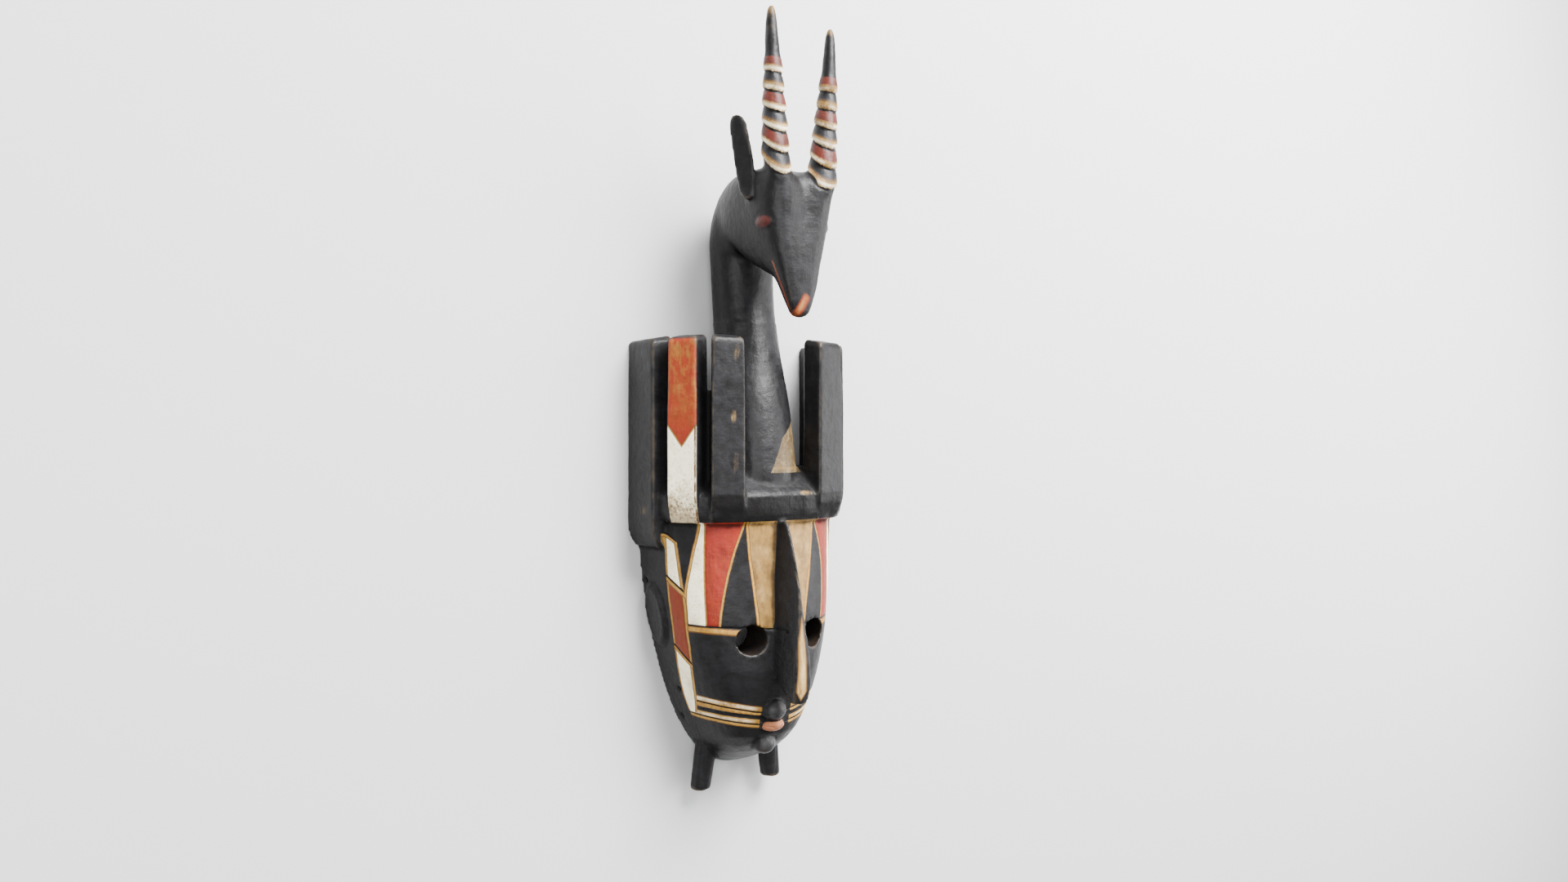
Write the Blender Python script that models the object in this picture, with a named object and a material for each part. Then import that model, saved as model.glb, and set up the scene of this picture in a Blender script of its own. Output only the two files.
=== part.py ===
"""A carved wooden ntomo face mask with a comb of six prongs and an antelope crest.

The mask lies on its back: +X is the viewer's right, +Y runs up the face to the horn tips and +Z comes
out of the face. Lengths are metres. Heights are measured up from the chin's lowest point, and the whole
carving is then moved so that the origin is under its middle, on the surface it lies on.
"""

import math

import bmesh
import bpy
from mathutils import Vector

# Face shell
FACE_HEIGHT = 0.210
FACE_HALF_WIDTH = 0.0855
FACE_DEPTH = 0.0870
RIM_WALL = 0.014
HOLLOW_DEPTH = 0.050
HOLLOW_EDGE_DEPTH = 0.006
HOLLOW_TOP_GAP = 0.014
CHIN_WALL = 0.024

# Crown block and the sloped ledge in front of the antelope's chest
CROWN_HALF_WIDTH = 0.0880
CROWN_DEPTH = 0.0860
CROWN_LIP = 0.021
CROWN_ROUND = 0.003
LEDGE_RISE = 0.020
LEDGE_RUN = 0.022

# Prongs of the comb; a plan gives the outer face's back and front edges as half breadth and depth
PRONG_TOP = 0.354
PRONG_CHAMFER = 0.0012
PRONG_TOP_ROUND = 0.0035
PRONG_TOP_FALL = 0.004
PRONG_END_TAPER = 0.006
PRONG_END_LENGTH = 0.022
PRONG_OVERHANG = 0.001
REAR_PRONG_PLAN = ((0.0952, -0.0100), (0.0912, 0.0388))
REAR_PRONG_THICKNESS = 0.020
LEFT_REAR_PRONG_OVERHANG = 0.022
RIGHT_REAR_PRONG_OVERHANG = 0.003
SIDE_PRONG_PLAN = ((0.0851, 0.0494), (0.0705, 0.0718))
SIDE_PRONG_THICKNESS = 0.021
FRONT_PRONG_PLAN = ((0.0630, 0.0812), (0.0350, 0.0868))
FRONT_PRONG_THICKNESS = 0.020
FRONT_PRONG_SKEW = 0.006

# Face details
EYE_RADIUS = 0.0123
EYE_SPACING = 0.0600
EYE_SHIFT = 0.0038
EYE_HEIGHT = 0.1165
NOSE_TOP = 0.208
NOSE_TIP = 0.0690
NOSE_HALF_WIDTH = 0.0095
NOSE_FACET = 0.0150
NOSE_RIDGE = 0.1150
NOSE_CROWN = 0.0012
NOSE_ROOT = 0.060
NOSE_TIP_THICKNESS = 0.007
MOUTH_SHIFT = -0.0030
UPPER_LIP_HEIGHT = 0.0585
UPPER_LIP_RADIUS = 0.0105
LOWER_LIP_HEIGHT = 0.0460
LOWER_LIP_WIDTH = 0.0215
CHIN_BALL_HEIGHT = 0.0290
CHIN_BALL_RADIUS = 0.0095
EAR_HEIGHT = 0.132
EAR_LENGTH = 0.050
EAR_WIDTH = 0.025
EAR_DEPTH = 0.0165
EAR_RAISE = 0.0035
EAR_ROOT = 0.006
CORD_HOLE_RADIUS = 0.0024
CORD_HOLE_PLACES = ((0.1600, 0.0070), (0.0726, 0.0240), (0.0475, 0.0125))

# Cuts across the face, each from its outer end to its inner end as half breadth and height
CUT_WIDTH = 0.0016
CUT_DEPTH = 0.0013
CUT_PROUD = 0.0012
CUT_STEP = 0.006
BAND_WIDTH = 0.0036
BAND_DEPTH = 0.0011
PANEL_CUT = ((0.0665, 0.1282), (0.0100, 0.1243))
UPPER_MOUTH_CUT = ((0.0540, 0.0655), (0.0100, 0.0562))
MOUTH_BAND = ((0.0520, 0.0595), (0.0100, 0.0522))
LOWER_MOUTH_CUT = ((0.0500, 0.0534), (0.0100, 0.0462))
UPPER_STRIP_STEP = ((0.0770, 0.1642), (0.0700, 0.1555))
LOWER_STRIP_STEP = ((0.0695, 0.1100), (0.0622, 0.1025))

# Two pegs under the chin
PEG_SPACING = 0.060
PEG_LENGTH = 0.0345
PEG_RADIUS = 0.0094
PEG_SPLAY = 0.0045
PEG_END = -0.0158
PEG_MIDDLE_DEPTH = 0.0150
PEG_TILT = 0.001
PEG_ROOT = 0.022

# Antelope crest; places on the head are half breadth, drop below the horns' base and depth
NECK_WIDTH = 0.056
NECK_TOP_DROP = 0.006
HORN_BASE = 0.481
HORN_TIP = 0.602
HEAD_LENGTH = 0.1165
HEAD_ABOVE_HORN_BASE = 0.0012
HEAD_HALF_WIDTH = 0.0352
HEAD_FRONT = 0.1150
BROW_HOLLOW = 0.0078
BROW_HOLLOW_REACH = 0.010
RIGHT_HORN_LOWER = 0.006
HORN_SPACING = 0.043
HORN_TIP_SPACING = 0.0552
HORN_DEPTH = 0.1080
HORN_TIP_FORWARD = 0.0025
HORN_RADIUS = 0.0102
HORN_RINGS = 6
RING_PITCH = (HORN_TIP - HORN_BASE) * 0.111
RING_RAISE = 0.0011
RING_LEAN = math.radians(50)
ANTELOPE_EAR_ROOT = (0.0350, 0.0240, 0.0918)
ANTELOPE_EAR_TIP = (0.0440, -0.0410, 0.0868)
ANTELOPE_EAR_WIDTH = 0.0165
ANTELOPE_EAR_ROUND = 0.0095
ANTELOPE_EAR_THICKNESS = 0.0074
ANTELOPE_EAR_SCOOP = 0.0024
ANTELOPE_EYE_PLACE = (0.0285, 0.0415, 0.1016)
ANTELOPE_EYE_LENGTH = 0.0155
ANTELOPE_EYE_HEIGHT = 0.0078
ANTELOPE_EYE_RAISE = 0.0030
ANTELOPE_EYE_TURN = 0.35

# Everything is carved past the back plane, and one saw cut then makes the flat back
BACK_SPARE = 0.010


def signed_power(value, power):
    return math.copysign(abs(value) ** power, value)


def superellipse(angle, half_width, depth, squareness):
    """A point of a plan curve: left rim at 0, front at a quarter turn, right rim at half a turn."""
    x = -half_width * signed_power(math.cos(angle), 2 / squareness)
    return x, depth * max(0.0, math.sin(angle)) ** (2 / squareness)


def blend(stations, at):
    """Reads smooth values between stations, each a tuple whose first number is its place."""
    places = [s[0] for s in stations]
    at = min(max(at, places[0]), places[-1])
    i = max(k for k in range(len(places) - 1) if places[k] <= at)
    before = stations[max(i - 1, 0)]
    start, end = stations[i], stations[i + 1]
    after = stations[min(i + 2, len(stations) - 1)]
    span = end[0] - start[0]
    t = (at - start[0]) / span
    values = []
    for k in range(1, len(start)):
        m0 = (end[k] - before[k]) / (end[0] - before[0]) * span
        m1 = (after[k] - start[k]) / (after[0] - start[0]) * span
        values.append(
            (2 * t**3 - 3 * t**2 + 1) * start[k]
            + (t**3 - 2 * t**2 + t) * m0
            + (3 * t**2 - 2 * t**3) * end[k]
            + (t**3 - t**2) * m1
        )
    return values


def solid_from(name, build):
    """Makes a working solid: build fills a bmesh, and its faces are turned to point out."""
    mesh = bpy.data.meshes.new(name)
    bm = bmesh.new()
    build(bm)
    bmesh.ops.recalc_face_normals(bm, faces=bm.faces)
    bm.to_mesh(mesh)
    bm.free()
    piece = bpy.data.objects.new(name, mesh)
    bpy.context.scene.collection.objects.link(piece)
    return piece


def loft(name, rings):
    """Skins a stack of rings with equal numbers of points, and caps both ends."""

    def build(bm):
        rows = [[bm.verts.new(p) for p in ring] for ring in rings]
        count = len(rows[0])
        for low, high in zip(rows, rows[1:]):
            for i in range(count):
                j = (i + 1) % count
                bm.faces.new((low[i], low[j], high[j], high[i]))
        bm.faces.new(rows[0])
        bm.faces.new(rows[-1])

    return solid_from(name, build)


def oval_ring(centre, across, along, count, squareness=2.0):
    """A closed oval about centre; across and along are its half axes as vectors."""
    ring = []
    for i in range(count):
        a = 2 * math.pi * i / count
        u = signed_power(math.cos(a), 2 / squareness)
        v = signed_power(math.sin(a), 2 / squareness)
        ring.append(Vector(centre) + Vector(across) * u + Vector(along) * v)
    return ring


def join(body, piece, operation):
    """Joins or cuts body with piece, exactly, and then clears piece away."""
    step = body.modifiers.new(operation.title(), "BOOLEAN")
    step.operation = operation
    step.solver = "EXACT"
    step.object = piece
    graph = bpy.context.evaluated_depsgraph_get()
    made = bpy.data.meshes.new_from_object(body.evaluated_get(graph))
    body.modifiers.clear()
    body.data = made
    bpy.data.objects.remove(piece)


def face_section(height):
    """The face's depth on the middle line as a share of its full depth, and its section's squareness."""
    # share of the face's height up from the chin, share of its depth, squareness
    stations = (
        (-0.005, 0.02, 2.2),
        (0.019, 0.21, 2.2),
        (0.043, 0.37, 2.3),
        (0.067, 0.50, 2.4),
        (0.100, 0.63, 2.5),
        (0.157, 0.775, 2.6),
        (0.219, 0.840, 2.7),
        (0.286, 0.880, 2.7),
        (0.352, 0.935, 2.6),
        (0.424, 0.985, 2.5),
        (0.524, 0.985, 2.5),
        (0.624, 0.985, 2.45),
        (0.710, 0.970, 2.4),
        (0.862, 0.945, 2.3),
        (1.000, 0.940, 2.3),
        (1.238, 0.940, 2.3),
    )
    return blend(stations, height / FACE_HEIGHT)


def face_half_width(height):
    s = max(0.0, 1 - height / FACE_HEIGHT)
    return FACE_HALF_WIDTH * max(0.0, 1 - s**1.6) ** 0.47


def face_depth(height):
    return FACE_DEPTH * face_section(height)[0]


def face_side_at(height, z):
    """Half the face's width at a height and a depth."""
    squareness = face_section(height)[1]
    share = min(1.0, z / face_depth(height)) ** squareness
    return face_half_width(height) * (1 - share) ** (1 / squareness)


def face_front_at(x, height):
    """A point on the face's skin, seen from the front."""
    depth, squareness = face_section(height)
    share = min(1.0, abs(x) / face_half_width(height)) ** squareness
    return Vector((x, height, FACE_DEPTH * depth * (1 - share) ** (1 / squareness)))


def face_shell():
    """The long boat-shaped face block."""
    around, levels = 30, 20
    rings = []
    for i in range(levels + 1):
        height = FACE_HEIGHT * (0.004 + 1.10 * (i / levels) ** 1.55)
        half = face_half_width(height)
        squareness = face_section(height)[1]
        ring = []
        for k in range(around + 1):
            x, z = superellipse(math.pi * k / around, half, face_depth(height), squareness)
            ring.append(Vector((x, height, z)))
        ring += [Vector((half, height, -BACK_SPARE)), Vector((-half, height, -BACK_SPARE))]
        rings.append(ring)
    return loft("face", rings)


def hollow():
    """The space behind the face, for the wearer."""
    around, levels = 20, 9
    top = FACE_HEIGHT - HOLLOW_TOP_GAP
    rings = []
    for i in range(levels + 1):
        t = i / levels
        height = CHIN_WALL + (top - CHIN_WALL) * t
        half = face_half_width(height) - RIM_WALL
        depth = HOLLOW_DEPTH * (1 - (1 - t) ** 4) * (1 - t**8 * 0.5) + HOLLOW_EDGE_DEPTH
        ring = []
        for k in range(around + 1):
            x, z = superellipse(math.pi * k / around, half, depth, 2.3)
            ring.append(Vector((x, height, z)))
        ring += [Vector((half, height, -2 * BACK_SPARE)), Vector((-half, height, -2 * BACK_SPARE))]
        rings.append(ring)
    return loft("hollow", rings)


def crown_block():
    """The block that carries the comb, its top edge sloped back to the antelope's chest."""
    around = 24
    lip_top = FACE_HEIGHT + CROWN_LIP
    levels = (
        (FACE_HEIGHT - CROWN_ROUND * 0.7, CROWN_ROUND),
        (FACE_HEIGHT + CROWN_ROUND, CROWN_ROUND * 0.27),
        (FACE_HEIGHT + CROWN_ROUND * 3, 0.0),
        (lip_top - CROWN_ROUND * 0.7, 0.0),
        (lip_top + CROWN_ROUND * 0.3, CROWN_ROUND * 0.7),
        (lip_top + LEDGE_RISE, LEDGE_RUN),
    )
    rings = []
    for height, inset in levels:
        ring = []
        for k in range(around + 1):
            x, z = superellipse(
                math.pi * k / around, CROWN_HALF_WIDTH - inset, CROWN_DEPTH - inset, 3.0
            )
            ring.append(Vector((x, height, z)))
        half = ring[-1].x
        ring += [Vector((half, height, -BACK_SPARE)), Vector((-half, height, -BACK_SPARE))]
        rings.append(ring)
    return loft("crown", rings)


def prong(side, outer_edges, thickness, foot, skew=0.0):
    """One upright bar of the comb; outer_edges are its outer face's back and front edges in plan."""
    outer_back, outer_front = (Vector((-breadth, depth)) for breadth, depth in outer_edges)
    along = (outer_front - outer_back).normalized()
    inward = Vector((along.y, -along.x))
    inner_back = outer_back + inward * thickness + along * skew
    inner_front = outer_front + inward * thickness
    corners = [outer_back, outer_front, inner_front, inner_back]
    centre = sum(corners, Vector((0, 0))) / 4
    plan = []
    for i, corner in enumerate(corners):
        before = (corners[i - 1] - corner).normalized()
        after = (corners[(i + 1) % 4] - corner).normalized()
        plan += [corner + before * PRONG_CHAMFER, corner + after * PRONG_CHAMFER]
    # height, share of the plan's size, share of the taper that draws the outer face in, share of the fall
    levels = (
        (foot, 0.90, 1.0, 0.0),
        (foot + PRONG_END_LENGTH * 0.23, 0.97, 0.55, 0.0),
        (foot + PRONG_END_LENGTH * 0.60, 1.0, 0.15, 0.0),
        (foot + PRONG_END_LENGTH, 1.0, 0.0, 0.0),
        (PRONG_TOP - PRONG_END_LENGTH * 2.7, 0.99, 0.0, 0.0),
        (PRONG_TOP - PRONG_TOP_ROUND, 0.94, 0.0, 1.0),
        (PRONG_TOP, 0.82, 0.0, 1.0),
    )
    rings = []
    for height, share, taper, fall_share in levels:
        ring = []
        for p in plan:
            q = centre + (p - centre) * share + inward * PRONG_END_TAPER * taper
            # the top falls a little towards the outside
            fall = PRONG_TOP_FALL * fall_share * (centre - q).dot(inward) / thickness
            ring.append(Vector((side * -q.x, height - fall, q.y)))
        rings.append(ring)
    return loft("prong", rings)


def comb(side):
    """The three prongs of one side, rim first."""
    rear_foot = FACE_HEIGHT - (LEFT_REAR_PRONG_OVERHANG if side < 0 else RIGHT_REAR_PRONG_OVERHANG)
    foot = FACE_HEIGHT - PRONG_OVERHANG
    return (
        prong(side, REAR_PRONG_PLAN, REAR_PRONG_THICKNESS, rear_foot),
        prong(side, SIDE_PRONG_PLAN, SIDE_PRONG_THICKNESS, foot),
        prong(side, FRONT_PRONG_PLAN, FRONT_PRONG_THICKNESS, foot, FRONT_PRONG_SKEW),
    )


def nose():
    """A long blade with a flat worn front facet that widens to the tip."""
    # share of the height up from the tip, then shares of the half width, the facet and the ridge's depth
    stations = (
        (0.00, 0.63, 0.36, 0.970),
        (0.08, 0.84, 0.50, 0.991),
        (0.22, 1.00, 0.46, 1.000),
        (0.45, 1.00, 0.22, 0.978),
        (0.70, 0.84, 0.09, 0.929),
        (0.88, 0.63, 0.10, 0.861),
        (1.00, 0.47, 0.12, 0.796),
    )
    rings = []
    for i in range(15):
        t = i / 14
        base, facet, ridge = blend(stations, t)
        base *= NOSE_HALF_WIDTH
        facet *= NOSE_FACET
        ridge *= NOSE_RIDGE
        height = NOSE_TIP + (NOSE_TOP - NOSE_TIP) * t
        # under the tip the back of the blade slopes out from the face
        root = NOSE_ROOT
        if t < 0.24:
            root += (ridge - NOSE_TIP_THICKNESS - root) * (1 - t / 0.24)
        middle = root + (ridge - root) * 0.55
        side = base + (facet - base) * 0.35
        ring = [
            Vector((-base, height, root)),
            Vector((-side, height, middle)),
            Vector((-facet, height, ridge - NOSE_CROWN)),
            Vector((0, height, ridge)),
            Vector((facet, height, ridge - NOSE_CROWN)),
            Vector((side, height, middle)),
            Vector((base, height, root)),
        ]
        rings.append(ring)
    return loft("nose", rings)


def ball(name, centre, radii, around=14, levels=8):
    """An ellipsoid, its poles cut to small flats."""
    rings = []
    for i in range(levels + 1):
        a = math.pi * (0.04 + 0.92 * i / levels) - math.pi / 2
        across = (radii[0] * math.cos(a), 0, 0)
        along = (0, 0, radii[2] * math.cos(a))
        middle = Vector(centre) + Vector((0, radii[1] * math.sin(a), 0))
        rings.append(oval_ring(middle, across, along, around))
    return loft(name, rings)


def mouth():
    """Two lips and the ball on the chin, carved a little to one side of the nose."""
    upper = UPPER_LIP_RADIUS
    lower = LOWER_LIP_WIDTH / 2
    chin = CHIN_BALL_RADIUS
    shift = MOUTH_SHIFT
    return (
        ball(
            "upper_lip",
            (shift, UPPER_LIP_HEIGHT, face_depth(UPPER_LIP_HEIGHT)),
            (upper, upper * 0.86, upper),
        ),
        ball(
            "lower_lip",
            (shift, LOWER_LIP_HEIGHT, face_depth(LOWER_LIP_HEIGHT) + lower * 0.05),
            (lower, lower * 0.50, lower * 0.85),
        ),
        ball(
            "chin_ball",
            (shift * 1.2, CHIN_BALL_HEIGHT, face_depth(CHIN_BALL_HEIGHT) - chin * 0.1),
            (chin, chin * 0.92, chin),
        ),
    )


def face_cut(side, ends, width, depth, floor_share):
    """A groove along the face's skin; floor_share is the flat of its floor as a share of its width."""
    (outer, outer_height), (inner, inner_height) = ends
    count = max(3, round(abs(outer - inner) / CUT_STEP))
    mouth_half = width / 2 * (1 + CUT_PROUD / depth * (1 - floor_share))
    sample = CUT_STEP / 12
    rings = []
    for i in range(count + 1):
        t = i / count
        x = side * (outer + (inner - outer) * t)
        height = outer_height + (inner_height - outer_height) * t
        middle = face_front_at(x, height)
        step_x = face_front_at(x + sample, height) - face_front_at(x - sample, height)
        step_up = face_front_at(x, height + sample) - face_front_at(x, height - sample)
        out = step_x.cross(step_up).normalized()
        along = (step_x * side * (inner - outer) + step_up * (inner_height - outer_height)).normalized()
        across = along.cross(out).normalized()
        ring = [middle + out * CUT_PROUD + across * mouth_half]
        ring.append(middle + out * CUT_PROUD - across * mouth_half)
        if floor_share > 0:
            ring.append(middle - out * depth - across * width / 2 * floor_share)
            ring.append(middle - out * depth + across * width / 2 * floor_share)
        else:
            ring.append(middle - out * depth)
        rings.append(ring)
    return loft("face_cut", rings)


def face_cuts(side):
    """The line under the painted panel, the lines beside the mouth and the steps of the side strip."""
    cuts = [face_cut(side, MOUTH_BAND, BAND_WIDTH, BAND_DEPTH, 0.6)]
    for ends in (PANEL_CUT, UPPER_MOUTH_CUT, LOWER_MOUTH_CUT, UPPER_STRIP_STEP, LOWER_STRIP_STEP):
        cuts.append(face_cut(side, ends, CUT_WIDTH, CUT_DEPTH, 0.0))
    return cuts


def peg(side):
    """A short round foot under the chin, splayed a little."""
    end_x = PEG_SPACING / 2 + PEG_SPLAY
    top = PEG_END + PEG_LENGTH + PEG_ROOT
    start_x = end_x - PEG_SPLAY * (top - PEG_END) / PEG_LENGTH
    low = Vector((side * end_x, PEG_END, PEG_MIDDLE_DEPTH - PEG_TILT))
    high = Vector((side * start_x, top, PEG_MIDDLE_DEPTH + PEG_TILT))
    rings = []
    for share, size in ((0.0, 0.80), (0.035, 0.91), (0.55, 1.0), (1.0, 1.02)):
        radius = PEG_RADIUS * size
        rings.append(oval_ring(low.lerp(high, share), (radius, 0, 0), (0, 0, radius), 14))
    return loft("peg", rings)


def ear_disc(side):
    """A raised oval ear on the cheek, near the rim."""
    rings = []
    outline = ((1.0, -EAR_ROOT), (1.0, EAR_RAISE * 0.45), (0.88, EAR_RAISE), (0.70, EAR_RAISE * 0.75))
    for grow, out in outline:
        ring = []
        for i in range(22):
            a = 2 * math.pi * i / 22
            height = EAR_HEIGHT + EAR_LENGTH / 2 * grow * math.sin(a)
            z = EAR_DEPTH + EAR_WIDTH / 2 * grow * math.cos(a)
            ring.append(Vector((side * (face_side_at(height, z) + out), height, z)))
        rings.append(ring)
    return loft("ear_disc", rings)


def neck():
    """The antelope's neck, from the crown's block up into the back of its head."""
    base = FACE_HEIGHT + CROWN_LIP
    # share of the rise, then shares of the neck's width: depth of its middle, breadth, half depth
    stations = (
        (0.00, 0.946, 1.10, 0.473),
        (0.08, 0.929, 1.07, 0.473),
        (0.30, 0.777, 1.01, 0.455),
        (0.46, 0.598, 0.97, 0.437),
        (0.62, 0.468, 0.95, 0.402),
        (0.78, 0.414, 0.98, 0.384),
        (0.90, 0.455, 1.04, 0.384),
        (1.00, 0.643, 0.94, 0.330),
    )
    rings = []
    for i in range(14):
        t = i / 13
        centre, breadth, deep = (NECK_WIDTH * share for share in blend(stations, t))
        height = base + (HORN_BASE - NECK_TOP_DROP - base) * t
        rings.append(oval_ring((0, height, centre), (breadth / 2, 0, 0), (0, 0, deep), 22, 2.15))
    return loft("neck", rings)


def head():
    """The antelope's head: a flat wedge of a face that narrows down to the muzzle."""
    # share of the length up from the muzzle, shares of the front's depth for the back and for the front's
    # set back, share of the half width
    stations = (
        (0.00, 0.909, 0.0435, 0.128),
        (0.03, 0.891, 0.0261, 0.222),
        (0.12, 0.857, 0.0130, 0.341),
        (0.25, 0.809, 0.0087, 0.497),
        (0.35, 0.748, 0.0070, 0.597),
        (0.42, 0.635, 0.0043, 0.668),
        (0.49, 0.417, 0.0000, 0.773),
        (0.58, 0.191, -0.0043, 0.866),
        (0.70, 0.087, -0.0130, 0.960),
        (0.82, 0.104, -0.0261, 1.000),
        (0.91, 0.174, -0.0261, 0.980),
        (0.97, 0.287, 0.0043, 0.909),
        (1.00, 0.391, 0.0522, 0.795),
    )
    muzzle_tip = HORN_BASE + HEAD_ABOVE_HORN_BASE - HEAD_LENGTH
    poll_slope = 0.10
    outline = []
    for u in (1.0, 0.97, 0.90, 0.78, 0.58, 0.36, 0.18, 0.0):
        outline.append((u, (1 - u**4.0) ** (1 / 4.0)))
    outline += [(-u, v) for u, v in reversed(outline[:-1])]
    for k in range(1, 12):
        a = math.pi * k / 12
        outline.append((-signed_power(math.cos(a), 2 / 2.6), -(math.sin(a) ** (2 / 2.6))))
    rings = []
    for i in range(21):
        t = i / 20
        back, set_back, half = blend(stations, t)
        back *= HEAD_FRONT
        front = HEAD_FRONT * (1 - set_back)
        half *= HEAD_HALF_WIDTH
        height = muzzle_tip + HEAD_LENGTH * t
        hollow_here = BROW_HOLLOW * max(0.0, (t - 0.38) / 0.62)
        rise = poll_slope * max(0.0, (t - 0.6) / 0.4)
        ring = []
        for u, v in outline:
            x = half * (0.93 + 0.07 * v) * u
            z = (front + back) / 2 + (front - back) / 2 * v
            if v > 0.6:
                z -= hollow_here * math.exp(-((x / BROW_HOLLOW_REACH) ** 2))
            ring.append(Vector((x, height + rise * (HEAD_FRONT * 0.87 - z), z)))
        rings.append(ring)
    return loft("head", rings)


def horn(side):
    """One horn with raised slanting rings below a plain point."""
    # share of the horn's height, share of the base radius
    taper = (
        (-0.12, 0.52),
        (-0.04, 0.88),
        (0.01, 1.0),
        (0.35, 0.82),
        (0.68, 0.60),
        (0.86, 0.47),
        (0.95, 0.36),
        (0.985, 0.24),
        (1.0, 0.10),
    )
    around = 12
    length = HORN_TIP - HORN_BASE
    pitch = RING_PITCH / length
    steps = [(-0.12, 0.0), (-0.06, 0.0), (-0.01, 0.0)]
    # each ring swells downwards to a lip and is cut back sharply under it
    for k in range(HORN_RINGS):
        steps.append((pitch * (k + 0.44), -0.7))
        steps.append((pitch * (k + 0.50), 0.9))
        steps.append((pitch * (k + 0.67), 1.1))
    ring_top = pitch * (HORN_RINGS + 0.27)
    for share in (0.0, 0.35, 0.68, 0.86, 0.96, 1.0):
        steps.append((ring_top + (1 - ring_top) * share, 0.0))
    base = HORN_BASE
    if side > 0:
        base -= RIGHT_HORN_LOWER
    rings = []
    for t, out in steps:
        height = base + length * t
        x = (HORN_SPACING + (HORN_TIP_SPACING - HORN_SPACING) * min(1.0, t * 1.15)) / 2
        z = HORN_DEPTH + HORN_TIP_FORWARD * min(1.0, t * 1.5)
        radius = HORN_RADIUS * blend(taper, t)[0] + RING_RAISE * out
        lean = math.tan(RING_LEAN * (1 - min(1.0, max(0.0, t) / 0.85)))
        ring = []
        for i in range(around):
            a = 2 * math.pi * i / around
            ahead = radius * math.sin(a)
            ring.append(Vector((side * (x + radius * math.cos(a)), height - lean * ahead, z + ahead)))
        rings.append(ring)
    return loft("horn", rings)


def on_head(side, place):
    breadth, drop, depth = place
    return Vector((side * breadth, HORN_BASE - drop, depth))


def antelope_ear(side):
    """A leaf-shaped ear outside each horn, scooped on its outer face."""
    root = on_head(side, ANTELOPE_EAR_ROOT)
    tip = on_head(side, ANTELOPE_EAR_TIP)
    across_way = Vector((-side * 0.55, 0.0, 0.835))
    out_way = Vector((side * 0.835, 0.0, 0.55))
    rounded = ANTELOPE_EAR_ROUND / (tip - root).length
    places = [rounded * share for share in (0.0, 0.07, 0.27, 0.60, 1.0)]
    rings = []
    for t in places + [0.5] + [1 - place for place in reversed(places)]:
        centre = root.lerp(tip, t)
        width = ANTELOPE_EAR_WIDTH / 2 * (0.80 + 0.20 * math.sin(math.pi * (0.15 + 0.70 * t)))
        past_end = 1 - min(1.0, t / rounded, (1 - t) / rounded)
        width *= math.sqrt(max(0.0, 1 - past_end**2)) * 0.88 + 0.12
        deep = ANTELOPE_EAR_THICKNESS / 2 * (1 - 0.35 * t)
        ring = []
        for k in range(14):
            a = 2 * math.pi * k / 14
            u = math.cos(a)
            v = math.sin(a)
            scoop = ANTELOPE_EAR_SCOOP * (1 - u * u) * math.sin(math.pi * min(1.0, t * 1.1))
            ring.append(centre + across_way * (width * u) + out_way * (deep * v - scoop))
        rings.append(ring)
    return loft("antelope_ear", rings)


def antelope_eye(side):
    """A low almond eye on the side of the antelope's brow, turned with the head's rounding."""
    centre = on_head(side, ANTELOPE_EYE_PLACE)
    out = Vector((side, 0, ANTELOPE_EYE_TURN)) * ANTELOPE_EYE_RAISE
    along = Vector((-side * ANTELOPE_EYE_TURN, 0, 1)) * ANTELOPE_EYE_LENGTH / 2
    rings = []
    for share in (-0.98, -0.80, -0.42, 0.0, 0.42, 0.80, 0.98):
        size = math.sqrt(1 - share**2)
        middle = centre + Vector((0, ANTELOPE_EYE_HEIGHT / 2 * share, 0))
        rings.append(oval_ring(middle, out * size, along * size, 12, 1.7))
    return loft("antelope_eye", rings)


def eye_hole(side):
    """A round sight hole bored straight back into the hollow."""
    x = EYE_SHIFT + side * EYE_SPACING / 2
    rings = []
    for z in (-BACK_SPARE, FACE_DEPTH + BACK_SPARE):
        rings.append(oval_ring((x, EYE_HEIGHT, z), (EYE_RADIUS, 0, 0), (0, EYE_RADIUS * 0.94, 0), 24))
    return loft("eye_hole", rings)


def cord_hole(side, height, z):
    """A small hole through the rim's wall, for a cord."""
    radius = CORD_HOLE_RADIUS
    outside = face_half_width(height) + RIM_WALL * 0.4
    inside = face_half_width(height) - RIM_WALL * 1.8
    rings = []
    for x in (inside, outside):
        rings.append(oval_ring((side * x, height, z), (0, radius, 0), (0, 0, radius), 10))
    return loft("cord_hole", rings)


def saw_cut():
    """The slab that the flat back is sawn off with."""

    def build(bm):
        bmesh.ops.create_cube(bm, size=1.0)
        length = HORN_TIP - PEG_END + BACK_SPARE * 2
        thickness = BACK_SPARE * 4
        bmesh.ops.scale(bm, vec=(CROWN_HALF_WIDTH * 3, length, thickness), verts=bm.verts)
        middle = (HORN_TIP + PEG_END) / 2
        bmesh.ops.translate(bm, vec=(0, middle, -thickness / 2), verts=bm.verts)

    return solid_from("saw_cut", build)


def blackened_wood():
    material = bpy.data.materials.new("blackened_wood")
    material.use_nodes = True
    shader = material.node_tree.nodes["Principled BSDF"]
    shader.inputs["Base Color"].default_value = (0.045, 0.045, 0.050, 1.0)
    shader.inputs["Roughness"].default_value = 0.55
    shader.inputs["Metallic"].default_value = 0.0
    return material


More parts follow.
